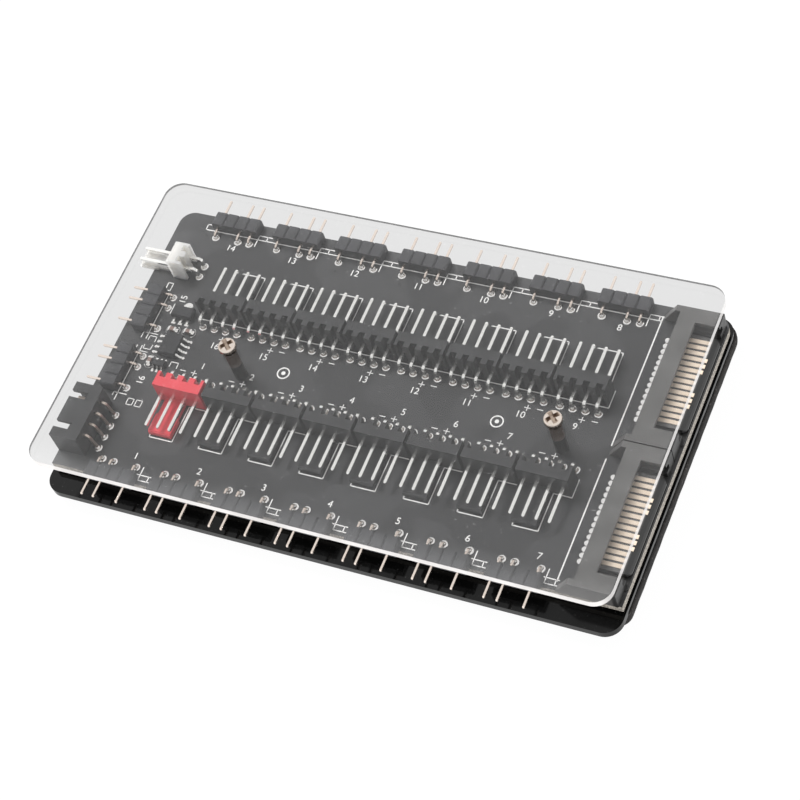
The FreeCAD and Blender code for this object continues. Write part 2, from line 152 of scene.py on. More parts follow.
# Closed-cell foam: near black and dull, with open cells of about 0.3 mm. Its colour has lighter specks,
# painted highlights for the cells that catch light.
foam = new_material("closed_cell_foam")
foam_cells = add_node(foam, "ShaderNodeTexVoronoi", {
    "Vector": add_node(foam, "ShaderNodeTexCoord").outputs["Object"], "Scale": 1 / (0.3 * MM),
})
foam_colour = add_node(foam, "ShaderNodeMix", {
    SHARE: patches(foam, 0.5, 0.62, 0.72, detail=2.0),
    FIRST: mottle(foam, 7.0, "#191817", "#252322", 0.35, 0.65, detail=3.0), SECOND: "#4A4745",
}, data_type="RGBA").outputs[MIXED]
foam_skin = add_node(foam, "ShaderNodeBsdfPrincipled", {
    "Base Color": foam_colour,
    "Roughness": 0.85,
    "Specular IOR Level": 0.3,
    "Normal": add_node(foam, "ShaderNodeBump", {
        "Height": foam_cells, "Distance": 0.08 * MM, "Strength": 0.7,
    }),
})
add_node(foam, "ShaderNodeOutputMaterial", {"Surface": foam_skin})

pad_lo, pad_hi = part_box("mounting_pad")
pad_mesh = bmesh.new()
pad_outline = rounded_outline(pad_lo, pad_hi, PAD_CORNER, PAD_POINT_SPACING)
pad_loops = []
for level, (inset, share) in enumerate(PAD_SIDE):
    loop = []
    for i, point in enumerate(pad_outline):
        before, after = pad_outline[i - 1], pad_outline[(i + 1) % len(pad_outline)]
        inward = Vector((before.y - after.y, after.x - before.x)).normalized()
        # The knife left the side very slightly wavy, all but the rim on the table.
        swing = math.sin(i * 0.9 + level) * math.sin(i * 0.23 - 2 * level)
        wave = KNIFE_WAVE_MM * (1 + swing) if level else 0.0
        spot = point + inward * (inset + wave) * MM
        loop.append(pad_mesh.verts.new((spot.x, spot.y, pad_lo.z + share * (pad_hi.z - pad_lo.z))))
    pad_loops.append(loop)
bridge(pad_mesh, pad_loops)
pad_piece = finish_piece("foam_pad_cut", pad_mesh, foam, smooth=True)
pad_piece.data.set_sharp_from_angle(angle=math.radians(60))
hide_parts("mounting_pad")


# Base plate: black cast acrylic, cut by laser, so its faces and its edges are both glossy.
# The pad is stuck under it, and the two spacer nuts stand on it.
def relief(material, size_mm, depth_mm, strength):
    """Waves about this large that bend reflections a little."""
    waves = add_node(material, "ShaderNodeTexNoise", {
        "Vector": add_node(material, "ShaderNodeTexCoord").outputs["Object"],
        "Scale": 1 / (size_mm * MM), "Detail": 1.0, "Roughness": FINER_SHARE,
    })
    return add_node(material, "ShaderNodeBump", {
        "Height": waves, "Distance": depth_mm * MM, "Strength": strength,
    })


def dress(material, *names):
    """Gives a material to nodes of the frame."""
    for name in names:
        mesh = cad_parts[name].data
        mesh.materials.clear()
        mesh.materials.append(material)


def soften(width_mm, *names):
    """Rounds a node's edges a little, as moulding or sawing leaves them."""
    for name in names:
        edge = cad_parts[name].modifiers.new("soft_edges", "BEVEL")
        edge.width = width_mm * MM
        edge.segments = 2
        edge.limit_method = "ANGLE"
        edge.angle_limit = math.radians(35)
        edge.harden_normals = True


# Cast acrylic: deep black with sharp reflections, a few specks of dust and broad faint smears.
black_acrylic = new_material("black_cast_acrylic")
plate_skin = add_node(black_acrylic, "ShaderNodeBsdfPrincipled", {
    "Base Color": mottle(black_acrylic, 0.35, "#080808", "#2B2B2B", 0.70, 0.78),
    "Roughness": patches(black_acrylic, 18.0, 0.4, 0.7, 0.06, 0.16, detail=4.0),
    "IOR": 1.49,
    "Specular IOR Level": 0.2,
    "Normal": relief(black_acrylic, 12.0, 0.02, 0.3),
})
add_node(black_acrylic, "ShaderNodeOutputMaterial", {"Surface": plate_skin})
dress(black_acrylic, "base_plate")
soften(0.12, "base_plate")


# Spacer nuts: thin hexagon nuts of black-oxidised steel, bonded to the base plate.
# The long screws end in them, and they hold the board clear of the plate.
def metal_skin(name, dark, light, shade_mm, gloss_mm, smooth, dull, metallic=1.0, detail=1.0):
    """A metal or its plating, whose shade and gloss both change a little from place to place."""
    material = new_material(name)
    skin = add_node(material, "ShaderNodeBsdfPrincipled", {
        "Base Color": mottle(material, shade_mm, dark, light, detail=detail),
        "Metallic": metallic,
        "Roughness": patches(material, gloss_mm, 0.3, 0.7, smooth, dull, detail),
    })
    add_node(material, "ShaderNodeOutputMaterial", {"Surface": skin})
    return material


# Black oxide: a dark satin film with the steel's gloss under it.
black_oxide = metal_skin("black_oxide_steel", "#17171A", "#2A292B", 0.4, 0.2, 0.32, 0.5, detail=3.0)
dress(black_oxide, "spacer_nuts")
soften(0.1, "spacer_nuts")


# Circuit board: glass-fibre laminate with black solder mask on both faces, sawn to size.
# It carries every header, plug and chip, and is clamped between the nuts and the posts.
board_lo, board_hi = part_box("circuit_board")
board_top = board_hi.z

# Solder mask: a satin black lacquer, a shade lighter over copper. The saw cut through it,
# so the edges show the beige laminate and its glass threads.
board_mask = new_material("black_solder_mask_on_laminate")
board_up = add_node(board_mask, "ShaderNodeSeparateXYZ", {
    "Vector": add_node(board_mask, "ShaderNodeNewGeometry").outputs["Normal"],
}).outputs["Z"]
mask_share = add_node(board_mask, "ShaderNodeMapRange", {
    "Value": add_node(board_mask, "ShaderNodeMath", {0: board_up}, operation="ABSOLUTE"),
    "From Min": 0.55, "From Max": 0.75,
})
board_colour = add_node(board_mask, "ShaderNodeMix", {
    SHARE: mask_share,
    FIRST: mottle(board_mask, 0.35, "#7D7871", "#B9B2A8", 0.45, 0.62, detail=2.0),
    SECOND: mottle(board_mask, 9.0, "#2E2E2F", "#383839", 0.495, 0.505, detail=0.0),
}, data_type="RGBA").outputs[MIXED]
board_skin = add_node(board_mask, "ShaderNodeBsdfPrincipled", {
    "Base Color": board_colour,
    "Roughness": add_node(board_mask, "ShaderNodeMapRange", {
        "Value": mask_share, "To Min": 0.8, "To Max": 0.3,
    }),
    "IOR": 1.5,
    "Normal": relief(board_mask, 5.0, 0.01, 0.2),
})
add_node(board_mask, "ShaderNodeOutputMaterial", {"Surface": board_skin})
dress(board_mask, "circuit_board")


# Printed marks: white epoxy ink, screen-printed about 0.02 mm thick on the solder mask.
# Outlines of the headers, polarity marks, position numbers and two rings with a dot.
PIN_SIZE = 0.64 * MM
FAN_PITCH, FAN_COUNT = 10.82 * MM, 8
LIGHT_PITCH, LIGHT_COUNT = 13.90 * MM, 7
SIDE_PITCH = 14.4 * MM
INK_THICKNESS = 0.02 * MM
LINE_WIDTH, FINE_LINE, GUIDE_LINE = 0.2 * MM, 0.16 * MM, 0.26 * MM
NUMBER_HEIGHT = 2.0 * MM
SIGN_ARM_MM = 0.55
# The middle of the first pin of each row, from the boxes of the frame's pins.
rear_pins_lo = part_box("fan_pins_rear")[0]
fan_first_x, rear_fan_y = rear_pins_lo.x + PIN_SIZE / 2, rear_pins_lo.y + PIN_SIZE / 2
front_fan_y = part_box("fan_pins_front")[1].y - PIN_SIZE / 2
rear_light_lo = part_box("light_pins_rear")[0]
rear_light_x, rear_light_y = rear_light_lo.x + PIN_SIZE / 2, rear_light_lo.y + PIN_SIZE / 2
front_light_lo, front_light_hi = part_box("light_pins_front")
front_light_x, front_light_y = front_light_lo.x + PIN_SIZE / 2, front_light_hi.y - PIN_SIZE / 2
side_light_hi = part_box("light_pins_left")[1]
side_light_x = side_light_hi.x - PIN_SIZE / 2
side_light_firsts = [side_light_hi.y - PIN_SIZE / 2, side_light_hi.y - PIN_SIZE / 2 - SIDE_PITCH]

print_mesh = bmesh.new()


def slab(mesh, corners, low, high):
    """A closed slab over a flat outline."""
    bridge(mesh, [[mesh.verts.new((x, y, z)) for x, y in corners] for z in (low, high)])


def stroke(origin, points, width=LINE_WIDTH):
    """Prints straight lines from point to point, in millimetres from a place on the board."""
    spots = [Vector((origin[0] + x * MM, origin[1] + y * MM)) for x, y in points]
    for a, b in zip(spots, spots[1:]):
        along = (b - a).normalized() * width / 2
        side = Vector((-along.y, along.x))
        a, b = a - along, b + along
        slab(print_mesh, [a - side, b - side, b + side, a + side], board_top, board_top + INK_THICKNESS)


def circle(x, y, radius, steps):
    """Points round a place."""
    turns = [2 * math.pi * i / steps for i in range(steps)]
    return [(x + radius * math.cos(t), y + radius * math.sin(t)) for t in turns]


def print_number(number, origin, place, turn=0.0):
    """Prints a position number, centred on a place in millimetres from another."""
    curve = bpy.data.curves.new("number", "FONT")
    curve.body = str(number)
    curve.size = NUMBER_HEIGHT
    curve.align_x = "CENTER"
    curve.align_y = "CENTER"
    curve.extrude = INK_THICKNESS / 2
    holder = bpy.data.objects.new("number", curve)
    bpy.context.scene.collection.objects.link(holder)
    bpy.context.view_layer.update()
    made = bpy.data.meshes.new_from_object(holder)
    spot = (origin[0] + place[0] * MM, origin[1] + place[1] * MM, board_top + INK_THICKNESS / 2)
    made.transform(Matrix.Translation(spot) @ Matrix.Rotation(turn, 4, "Z"))
    print_mesh.from_mesh(made)
    bpy.data.objects.remove(holder)
    bpy.data.curves.remove(curve)
    bpy.data.meshes.remove(made)


def print_signs(origin, minus, plus):
    """Prints a minus sign and a plus sign."""
    for (x, y), arms in ((minus, ((1, 0),)), (plus, ((1, 0), (0, 1)))):
        for across, up in arms:
            dx, dy = across * SIGN_ARM_MM, up * SIGN_ARM_MM
            stroke(origin, ((x - dx, y - dy), (x + dx, y + dy)), FINE_LINE)


# Fan headers, in mm from each one's first pin: the outline of the tongue, its number and its signs.
REAR_TONGUE = ((2.55, 13.15), (2.55, 13.85), (7.6, 13.85), (7.6, 5.5))
FRONT_TONGUE = ((0.3, -13.1), (0.3, -13.75), (5.35, -13.75), (5.35, -5.65), (8.9, -5.65))
for k in range(FAN_COUNT):
    rear = (fan_first_x + k * FAN_PITCH, rear_fan_y)
    stroke(rear, REAR_TONGUE)
    print_number(2 * FAN_COUNT - k, rear, (4.2, -3.6))
    print_signs(rear, (7.5, -1.75), (5.0, -1.9))
    front = (fan_first_x + k * FAN_PITCH, front_fan_y)
    stroke(front, FRONT_TONGUE)
    print_number(k + 1, front, (4.0, 3.7))
    print_signs(front, (0.35, 1.9), (2.8, 1.85))
row_end = (FAN_COUNT - 1) * FAN_PITCH / MM + 8.95
stroke((fan_first_x, rear_fan_y), ((-1.3, 1.72), (row_end, 1.72), (row_end, 5.5)))
stroke((fan_first_x, front_fan_y), ((row_end, -5.65), (row_end, -1.8)))

# Light headers, in mm from each one's first pin: marks between it and the next, and its number.
REAR_LIGHT_MARKS = (((8.9, -0.15), (8.9, 2.5), (12.1, 2.5)), ((10.85, 1.5), (10.85, 2.5)))
FRONT_LIGHT_MARKS = (
    ((9.05, 0.35), (9.05, -2.5), (11.65, -2.5)), ((8.25, -1.35), (11.55, -1.35)),
    ((11.0, -1.35), (11.0, -2.5)),
)
for k in range(LIGHT_COUNT):
    rear = (rear_light_x + k * LIGHT_PITCH, rear_light_y)
    for line in REAR_LIGHT_MARKS:
        stroke(rear, line)
    print_number(2 * LIGHT_COUNT - k, rear, (4.2, -1.75))
    front = (front_light_x + k * LIGHT_PITCH, front_light_y)
    for line in FRONT_LIGHT_MARKS:
        stroke(front, line)
    print_number(k + 1, front, (6.4, 2.3))

# Right: a line along the light headers behind ends at a guide line beside the power plugs. The guide
# line runs past the first plug, and again from the second plug to the light headers in front.
GUIDE_INSET = 12.88 * MM
plug_1_lo, plug_1_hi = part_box("power_plug_1")
plug_2_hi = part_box("power_plug_2")[1]
guide_x = board_hi.x - GUIDE_INSET
guide_away = (guide_x - rear_light_x) / MM
plug_1_away = (plug_1_lo.y - rear_light_y) / MM
plug_2_away = (plug_2_hi.y - front_light_y) / MM
stroke((rear_light_x, rear_light_y), ((-1.9, 2.8), (-3.05, 2.8), (-3.05, 1.5), (guide_away, 1.5)))
stroke((guide_x, rear_light_y), ((0, 2.25), (0, plug_1_away + 0.5)), GUIDE_LINE)
stroke((guide_x, front_light_y), ((0, plug_2_away - 2.3), (0, -1.5)), GUIDE_LINE)

# Left column, in mm from its first pin: a line through the pins and a small box at its end. Then, finer,
# the ends of its two headers, and the outline of a resistor that isn't fitted between them.
COLUMN_LINES = (
    ((-1.3, 0.6), (-1.3, -10.2)), ((-1.3, -12.05), (-1.3, -25.0)), ((-2.15, -23.4), (0.65, -23.4)),
    ((-2.55, 0.6), (-0.05, 0.6)), ((-2.6, 1.5), (-2.6, 3.3), (-1.5, 3.3), (-1.5, 1.5), (-2.6, 1.5)),
)
COLUMN_FINE_LINES = (
    ((-2.45, -10.2), (-2.45, -8.87), (0.66, -8.87)), ((-1.85, -13.27), (0.4, -13.27)),
    ((-2.35, -12.15), (-2.35, -12.9)), ((-0.75, -10.4), (-0.7, -9.45), (0.8, -9.45), (0.85, -10.6)),
    ((-0.9, -11.7), (-0.85, -12.53), (0.75, -12.53), (0.83, -11.45)), ((-2.17, -24.1), (-2.17, -23.4)),
)
column_start = (side_light_x, side_light_firsts[0])
for line in COLUMN_LINES:
    stroke(column_start, line)
for line in COLUMN_FINE_LINES:
    stroke(column_start, line, FINE_LINE)
print_number(15, column_start, (2.3, 0.2), math.pi / 2)
print_number(16, column_start, (2.1, -19.6), math.pi / 2)

# Round the chips, in mm from the first fan pin behind: the outlines of a resistor and of two pads,
# a line beside the regulator, and an arc at each side of each capacitor, given as x, y and its turn.
chips_start = (fan_first_x, rear_fan_y)
CHIP_LINES = (
    ((-2.9, -10.2), (-2.88, -9.1), (-1.3, -9.1), (-1.25, -10.3)), ((-8.3, 3.8), (-8.3, 1.45)),
    ((-7.8, -20.4), (-7.8, -19.0), (-6.5, -19.0), (-6.5, -20.4), (-7.8, -20.4)),
    ((-5.9, -20.4), (-5.9, -19.0), (-4.6, -19.0), (-4.6, -20.4), (-5.9, -20.4)),
)
CAPACITORS = ((-5.9, -2.15, 0.0), (-2.4, -1.9, 0.0), (-7.25, -10.05, math.pi / 2))
ARC_SHIFT, ARC_RADIUS, ARC_HALF, ARC_PARTS = 0.42, 1.05, math.radians(62), 12
for line in CHIP_LINES:
    stroke(chips_start, line, FINE_LINE)
for x, y, turn in CAPACITORS:
    for way in (turn, turn + math.pi):
        mx, my = x + ARC_SHIFT * math.cos(way), y + ARC_SHIFT * math.sin(way)
        turns = [way + ARC_HALF * (2 * i / ARC_PARTS - 1) for i in range(ARC_PARTS + 1)]
        arc = [(mx + ARC_RADIUS * math.cos(t), my + ARC_RADIUS * math.sin(t)) for t in turns]
        stroke(chips_start, arc, FINE_LINE)

# Two rings with a dot, between the rows of fan headers. Their places are in mm from the first fan pin behind.
RINGS = ((20.6, -6.1), (65.4, -6.1))
RING_OUTER, RING_INNER, DOT_RADIUS, RING_STEPS = 1.32 * MM, 1.06 * MM, 0.42 * MM, 40
for dx, dy in RINGS:
    ring_x, ring_y = fan_first_x + dx * MM, rear_fan_y + dy * MM
    outer = circle(ring_x, ring_y, RING_OUTER, RING_STEPS)
    inner = circle(ring_x, ring_y, RING_INNER, RING_STEPS)
    for k in range(RING_STEPS):
        j = (k + 1) % RING_STEPS
        slab(print_mesh, [inner[k], outer[k], outer[j], inner[j]], board_top, board_top + INK_THICKNESS)
    slab(print_mesh, circle(ring_x, ring_y, DOT_RADIUS, 24), board_top, board_top + INK_THICKNESS)

# Epoxy ink: matt and white, a little thinner in places, where it looks greyer.
ink = new_material("white_epoxy_ink")
ink_skin = add_node(ink, "ShaderNodeBsdfPrincipled", {
    "Base Color": mottle(ink, 0.25, "#DEDDDB", "#EFEEEC", 0.4, 0.62, detail=2.0),
    "Roughness": 0.55,
})
add_node(ink, "ShaderNodeOutputMaterial", {"Surface": ink_skin})
finish_piece("printed_marks", print_mesh, ink)

# Small plated holes that join the two sides of the board. The mask fills them, so they are
# dark dull dots. Their places are in mm from the first fan pin behind.
HOLES = ((-9.15, 21.1), (7.0, 18.9), (21.0, 18.8), (35.0, 18.8), (74.4, 19.0), (0.36, -5.16), (1.62, -5.27))
HOLE_RADIUS, HOLE_THICKNESS = 0.19 * MM, 0.01 * MM
hole_mesh = bmesh.new()
for dx, dy in HOLES:
    slab(hole_mesh, circle(fan_first_x + dx * MM, rear_fan_y + dy * MM, HOLE_RADIUS, 14),
         board_top, board_top + HOLE_THICKNESS)
filled_hole = new_material("mask_filled_hole")
hole_skin = add_node(filled_hole, "ShaderNodeBsdfPrincipled", {
    "Base Color": mottle(filled_hole, 0.2, "#0A0A0A", "#161616"),
    "Roughness": 0.7,
    "Specular IOR Level": 0.1,
})
add_node(filled_hole, "ShaderNodeOutputMaterial", {"Surface": hole_skin})
finish_piece("small_plated_holes", hole_mesh, filled_hole)


# Solder joints: a tinned ring on the board, a rounded rim of tin, and a thin fillet up each pin.
# They hold every pin of the headers, and the same pins end in smaller joints under the board.
PIN_PITCH = 2.54 * MM
# The fan joints have a narrow rim, and the light joints a broad one, or in front none, as they are full.
NARROW_RIM, BROAD_RIM, NO_RIM = 0.6, 0.54, 0.0
# A fan header has four pins, and a light header three, with the second place left out.
fan_places = [i * PIN_PITCH for i in range(4)]
light_places = [i * PIN_PITCH for i in (0, 2, 3)]
key_lo, key_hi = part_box("key_pins")
key_x = key_hi.x - PIN_SIZE / 2
key_ys = [key_lo.y + PIN_SIZE / 2, key_hi.y - PIN_SIZE / 2]
input_lo, input_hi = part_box("input_pins")
input_x = input_hi.x - PIN_SIZE / 2
input_ys = [input_lo.y + PIN_SIZE / 2 + place for place in fan_places]


def joint_profile(swell, rim, top):
    """Radius and height in mm: up the outside, over a rim and down its trough if any, then up the pin."""
    if rim == NO_RIM:
        return [(swell, 0.0), (swell, 0.06), (swell - 0.04, 0.14), (swell - 0.12, 0.19), (0.62, 0.21),
                (0.5, 0.22), (0.44, 0.24), (0.4, 0.3), (0.375, 0.4), (0.345, top)]
    return [(swell, 0.0), (swell - 0.01, 0.05), (swell - 0.07, 0.12), (swell - 0.16, 0.16), (rim, 0.17),
            (rim - 0.06, 0.14), (rim - 0.09, 0.09), (0.43, 0.08), (0.4, 0.15), (0.375, 0.6 * top),
            (0.345, top)]


def turn_profile(mesh, centre, points, steps, up=1.0, dull=()):
    """Turns a profile in mm round an upright axis and closes it. The levels listed in dull get the second
    material, on the joints a painted shade.
    """
    loops = []
    for radius, height in points:
        z = centre[2] + up * height * MM
        loops.append([mesh.verts.new((x, y, z)) for x, y in circle(centre[0], centre[1], radius * MM, steps)])
    for level, (lower, upper) in enumerate(zip(loops, loops[1:])):
        for k in range(steps):
            j = (k + 1) % steps
            face = mesh.faces.new((lower[k], lower[j], upper[j], upper[k]))
            face.material_index = 1 if level in dull else 0
    mesh.faces.new(list(reversed(loops[0])))
    mesh.faces.new(loops[-1])


pin_sites = []
for k in range(FAN_COUNT):
    for place in fan_places:
        pin_sites.append((fan_first_x + k * FAN_PITCH + place, rear_fan_y, NARROW_RIM))
        pin_sites.append((fan_first_x + k * FAN_PITCH + place, front_fan_y, NARROW_RIM))
for k in range(LIGHT_COUNT):
    for place in light_places:
        pin_sites.append((rear_light_x + k * LIGHT_PITCH + place, rear_light_y, BROAD_RIM))
        pin_sites.append((front_light_x + k * LIGHT_PITCH + 3 * PIN_PITCH - place, front_light_y, NO_RIM))
side_sites = [(side_light_x, y - place) for y in side_light_firsts for place in (0, PIN_PITCH, 3 * PIN_PITCH)]
pin_sites += [(x, y, BROAD_RIM) for x, y in side_sites]
pin_sites += [(key_x, y, BROAD_RIM) for y in key_ys]
pin_sites += [(input_x, y, BROAD_RIM) for y in input_ys]

# Each joint on the board differs a little. The levels of its trough, or of its ring if it has none,
# get a painted shade: the tin there is painted dull and dark.
TROUGH, FULL_RING = (5, 6, 7), (5, 6)
# Radii and heights in mm, on the board and under it.
JOINT_SWELL, JOINT_TOP, JOINT_WOBBLE = 0.86, 0.55, 0.03
UNDER_SWELL, UNDER_TOP = 0.84, 0.7
joints = bmesh.new()
for n, (x, y, rim) in enumerate(pin_sites):
    wobble = JOINT_WOBBLE * math.sin(n * 2.4)
    profile = joint_profile(JOINT_SWELL + wobble, rim, JOINT_TOP + wobble)
    turn_profile(joints, (x, y, board_top), profile, 24, dull=TROUGH if rim else FULL_RING)
    turn_profile(joints, (x, y, board_lo.z), joint_profile(UNDER_SWELL, NARROW_RIM, UNDER_TOP), 12, up=-1.0)

# Tin solder: it froze smooth, so it mirrors the lights above and the dark headers beside it.
tin = metal_skin("bright_tin_solder", "#EFEDEA", "#FBFAF8", 0.9, 0.8, 0.1, 0.22)
# Painted shade: a dull dark brown over the tin, for the dark board and headers that the joints mirror there.
joint_shade = new_material("tin_with_painted_joint_shade")
joint_shade_skin = add_node(joint_shade, "ShaderNodeBsdfPrincipled", {
    "Base Color": mottle(joint_shade, 0.3, "#5A4E47", "#9A8B80"),
    "Metallic": 0.6,
    "Roughness": 0.35,
})
add_node(joint_shade, "ShaderNodeOutputMaterial", {"Surface": joint_shade_skin})
joint_piece = finish_piece("solder_joints", joints, tin, smooth=True)
joint_piece.data.materials.append(joint_shade)


# Header pins: square brass wire, cut to a blunt point, bent over once and pressed into the housings.
# The fan, key and input pins are tin plated, and the light pins have a thin flash of gold.
FAN_WIRE, LIGHT_WIRE, INPUT_WIRE = 0.62 * MM, 0.44 * MM, 0.5 * MM
FAN_REACH, FAN_HEIGHT = 12.85 * MM, 2.45 * MM
LIGHT_REACH, LIGHT_HEIGHT = 8.65 * MM, 1.05 * MM
INPUT_REACH, INPUT_HEIGHT, INPUT_LEAN = input_x - input_lo.x, 4.0 * MM, 0.8 * MM
BEND_RADIUS, BEND_STEPS = 0.6 * MM, 4
PIN_START, TIP_LENGTH, TIP_SIZE = -0.5 * MM, 0.22 * MM, 0.74
TO_REAR, TO_LEFT, TO_FRONT = 0.0, math.pi / 2, math.pi

# Tin plating, drawn with the wire: its top mirrors the lights and its sides mirror the dark board,
# and its thin matt skin scatters a little of the light.
tin_plate = metal_skin("tin_plated_wire", "#ECEBE7", "#F6F5F2", 2.0, 1.0, 0.14, 0.19, metallic=0.88)
# The input pins get a duller, darker and browner tin than the others: a painted shade for the black socket
# that they mirror.
dull_tin = metal_skin("dull_tin_plated_wire", "#B9AA9E", "#D2C5BA", 1.2, 0.7, 0.32, 0.4)
# A flash of gold is so thin that it only warms the nickel under it, and it stays bright.
gold_flash = metal_skin("gold_flashed_wire", "#D8C9BE", "#E2D7CD", 2.0, 1.0, 0.15, 0.24, metallic=0.95)


def bent_pin(mesh, site, turn, reach, height, width, lean=0.0):
    """A square pin from its joint up, round its bend, through its housing and on to its blunt tip."""
    half, bend = width / 2, min(BEND_RADIUS, height - BEND_RADIUS)
    path = [((0.0, PIN_START), 1.0), ((0.0, 0.0), 1.0)]
    for i in range(BEND_STEPS + 1):
        t = math.pi / 2 * i / BEND_STEPS
        rise = (1 - math.sin(t)) * bend
        path.append(((lean * (height - rise) / height + (1 - math.cos(t)) * bend, height - rise), 1.0))
    path += [((reach - TIP_LENGTH, height), 1.0), ((reach, height), TIP_SIZE)]
    spots = [Vector(spot) for spot, _ in path]
    move = Matrix.Translation((site[0], site[1], board_top)) @ Matrix.Rotation(turn, 4, "Z")
    loops = []
    for i, (spot, (_, size)) in enumerate(zip(spots, path)):
        before = spots[i] - spots[i - 1] if i else spots[1] - spots[0]
        after = spots[i + 1] - spots[i] if i + 1 < len(spots) else before
        along = (before.normalized() + after.normalized()).normalized()
        up = Vector((-along.y, along.x)) * half * size
        loop = []
        for side, rise in ((-1, -1), (1, -1), (1, 1), (-1, 1)):
            flat = spot + up * rise
            loop.append(mesh.verts.new(move @ Vector((side * half * size, flat.x, flat.y))))
        loops.append(loop)
    bridge(mesh, loops)


def sites_of(first, pitch, count, places_along, y):
    """The places of the pins in one row of headers."""
    return [(first + k * pitch + place, y) for k in range(count) for place in places_along]


rear_fan_sites = sites_of(fan_first_x, FAN_PITCH, FAN_COUNT, fan_places, rear_fan_y)
front_fan_sites = sites_of(fan_first_x, FAN_PITCH, FAN_COUNT, fan_places, front_fan_y)
rear_light_sites = sites_of(rear_light_x, LIGHT_PITCH, LIGHT_COUNT, light_places, rear_light_y)
turned_places = [3 * PIN_PITCH - place for place in light_places]
front_light_sites = sites_of(front_light_x, LIGHT_PITCH, LIGHT_COUNT, turned_places, front_light_y)
fan_form = (FAN_REACH, FAN_HEIGHT, FAN_WIRE)
light_form = (LIGHT_REACH, LIGHT_HEIGHT, LIGHT_WIRE)
input_form = (INPUT_REACH, INPUT_HEIGHT, INPUT_WIRE, INPUT_LEAN)
for node, sites, turn, form, metal, slot_name in (
    ("fan_pins_rear", rear_fan_sites, TO_REAR, fan_form, tin_plate, "tinned_pin"),
    ("fan_pins_front", front_fan_sites, TO_FRONT, fan_form, tin_plate, "tinned_pin"),
    ("light_pins_rear", rear_light_sites, TO_REAR, light_form, gold_flash, "gold_pin"),
    ("light_pins_front", front_light_sites, TO_FRONT, light_form, gold_flash, "gold_pin"),
    ("light_pins_left", side_sites, TO_LEFT, light_form, gold_flash, "gold_pin"),
    ("key_pins", [(key_x, y) for y in key_ys], TO_LEFT, fan_form, tin_plate, "tinned_pin"),
    ("input_pins", [(input_x, y) for y in input_ys], TO_LEFT, input_form, dull_tin, "tinned_pin"),
):
    mesh = bmesh.new()
    for site in sites:
        bent_pin(mesh, site, turn, *form)
    pins = finish_piece(node + "_bent", mesh, metal)
    edge = pins.modifiers.new("worn_edges", "BEVEL")
    edge.width = 0.04 * MM
    edge.segments = 1
    edge.limit_method = "ANGLE"
    edge.angle_limit = math.radians(50)
    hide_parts(node)


# Header housings: moulded nylon, black for the fans and lights, red for the first fan header
# and white for the key header. Each is pressed over its pins and stands on the board.
def moulded(name, dark, light, roughness, grain_mm=0.6):
    """Moulded plastic: slow changes of shade, and a fine matt grain, drawn coarser than it is."""
    material = new_material(name)
    grain = add_node(material, "ShaderNodeTexNoise", {
        "Vector": add_node(material, "ShaderNodeTexCoord").outputs["Object"],
        "Scale": 1 / (grain_mm * MM), "Detail": 1.0, "Roughness": FINER_SHARE,
    })
    skin = add_node(material, "ShaderNodeBsdfPrincipled", {
        "Base Color": mottle(material, 4.0, dark, light, 0.35, 0.65, detail=3.0),
        "Roughness": add_node(material, "ShaderNodeMapRange", {
            "Value": grain, "From Min": 0.3, "From Max": 0.7,
            "To Min": roughness - 0.04, "To Max": roughness + 0.04,
        }),
        "IOR": 1.53,
        "Normal": add_node(material, "ShaderNodeBump", {
            "Height": grain, "Distance": 0.004 * MM, "Strength": 0.4,
        }),
    })
    add_node(material, "ShaderNodeOutputMaterial", {"Surface": skin})
    return material


# Nylon: the tool was spark-eroded, so the skin is finely matt and mirrors only broad soft light.
black_nylon = moulded("black_moulded_nylon", "#2A2A2B", "#333334", 0.5)
strip_nylon = moulded("black_strip_nylon", "#2E2E30", "#37373A", 0.46)
red_nylon = moulded("red_moulded_nylon", "#CA3C45", "#D24751", 0.45)
white_nylon = moulded("white_moulded_nylon", "#C8C6C2", "#D2D0CC", 0.42)
# The uncoloured nylon is cloudy, so light from above comes out of its sides too.
cloudy = white_nylon.node_tree.nodes["Principled BSDF"].inputs
cloudy["Subsurface Weight"].default_value = 1.0
cloudy["Subsurface Radius"].default_value = (1.0, 0.96, 0.88)
cloudy["Subsurface Scale"].default_value = 7.0 * MM
# Its thin tongue lets most of the light through, so it is painted greyer than the body: a painted shade.
key_across = add_node(white_nylon, "ShaderNodeSeparateXYZ", {
    "Vector": add_node(white_nylon, "ShaderNodeTexCoord").outputs["Object"],
}).outputs["X"]
body_share = add_node(white_nylon, "ShaderNodeMapRange", {
    "Value": key_across, "From Min": key_x - 5.4 * MM, "From Max": key_x - 4.8 * MM,
})
key_colour_with_shaded_tongue = add_node(white_nylon, "ShaderNodeMix", {
    SHARE: body_share, FIRST: "#A3A19E", SECOND: cloudy["Base Color"].links[0].from_socket,
}, data_type="RGBA").outputs[MIXED]
white_nylon.node_tree.links.new(key_colour_with_shaded_tongue, cloudy["Base Color"])

fan_headers = ["fan_header_%d" % n for n in range(1, 2 * FAN_COUNT + 1)]
light_headers = ["light_header_%d" % n for n in range(1, 2 * LIGHT_COUNT + 3)]
dress(red_nylon, fan_headers[0])
dress(black_nylon, *fan_headers[1:], "input_socket")
dress(strip_nylon, *light_headers)
dress(white_nylon, "key_header")
soften(0.1, *fan_headers)
soften(0.06, *light_headers)
soften(0.12, "key_header", "input_socket")


# Power plugs: black plastic filled with glass, each moulded in one piece and standing on the board.
# Fifteen flat contacts lie flush in the tongue of each, and their feet are soldered down behind.
CONTACTS_EACH, CONTACT_PITCH, CONTACT_HALF = 15, 1.27 * MM, 0.4 * MM
BEAD_RADIUS, BEAD_HEIGHT = 0.62, 0.24
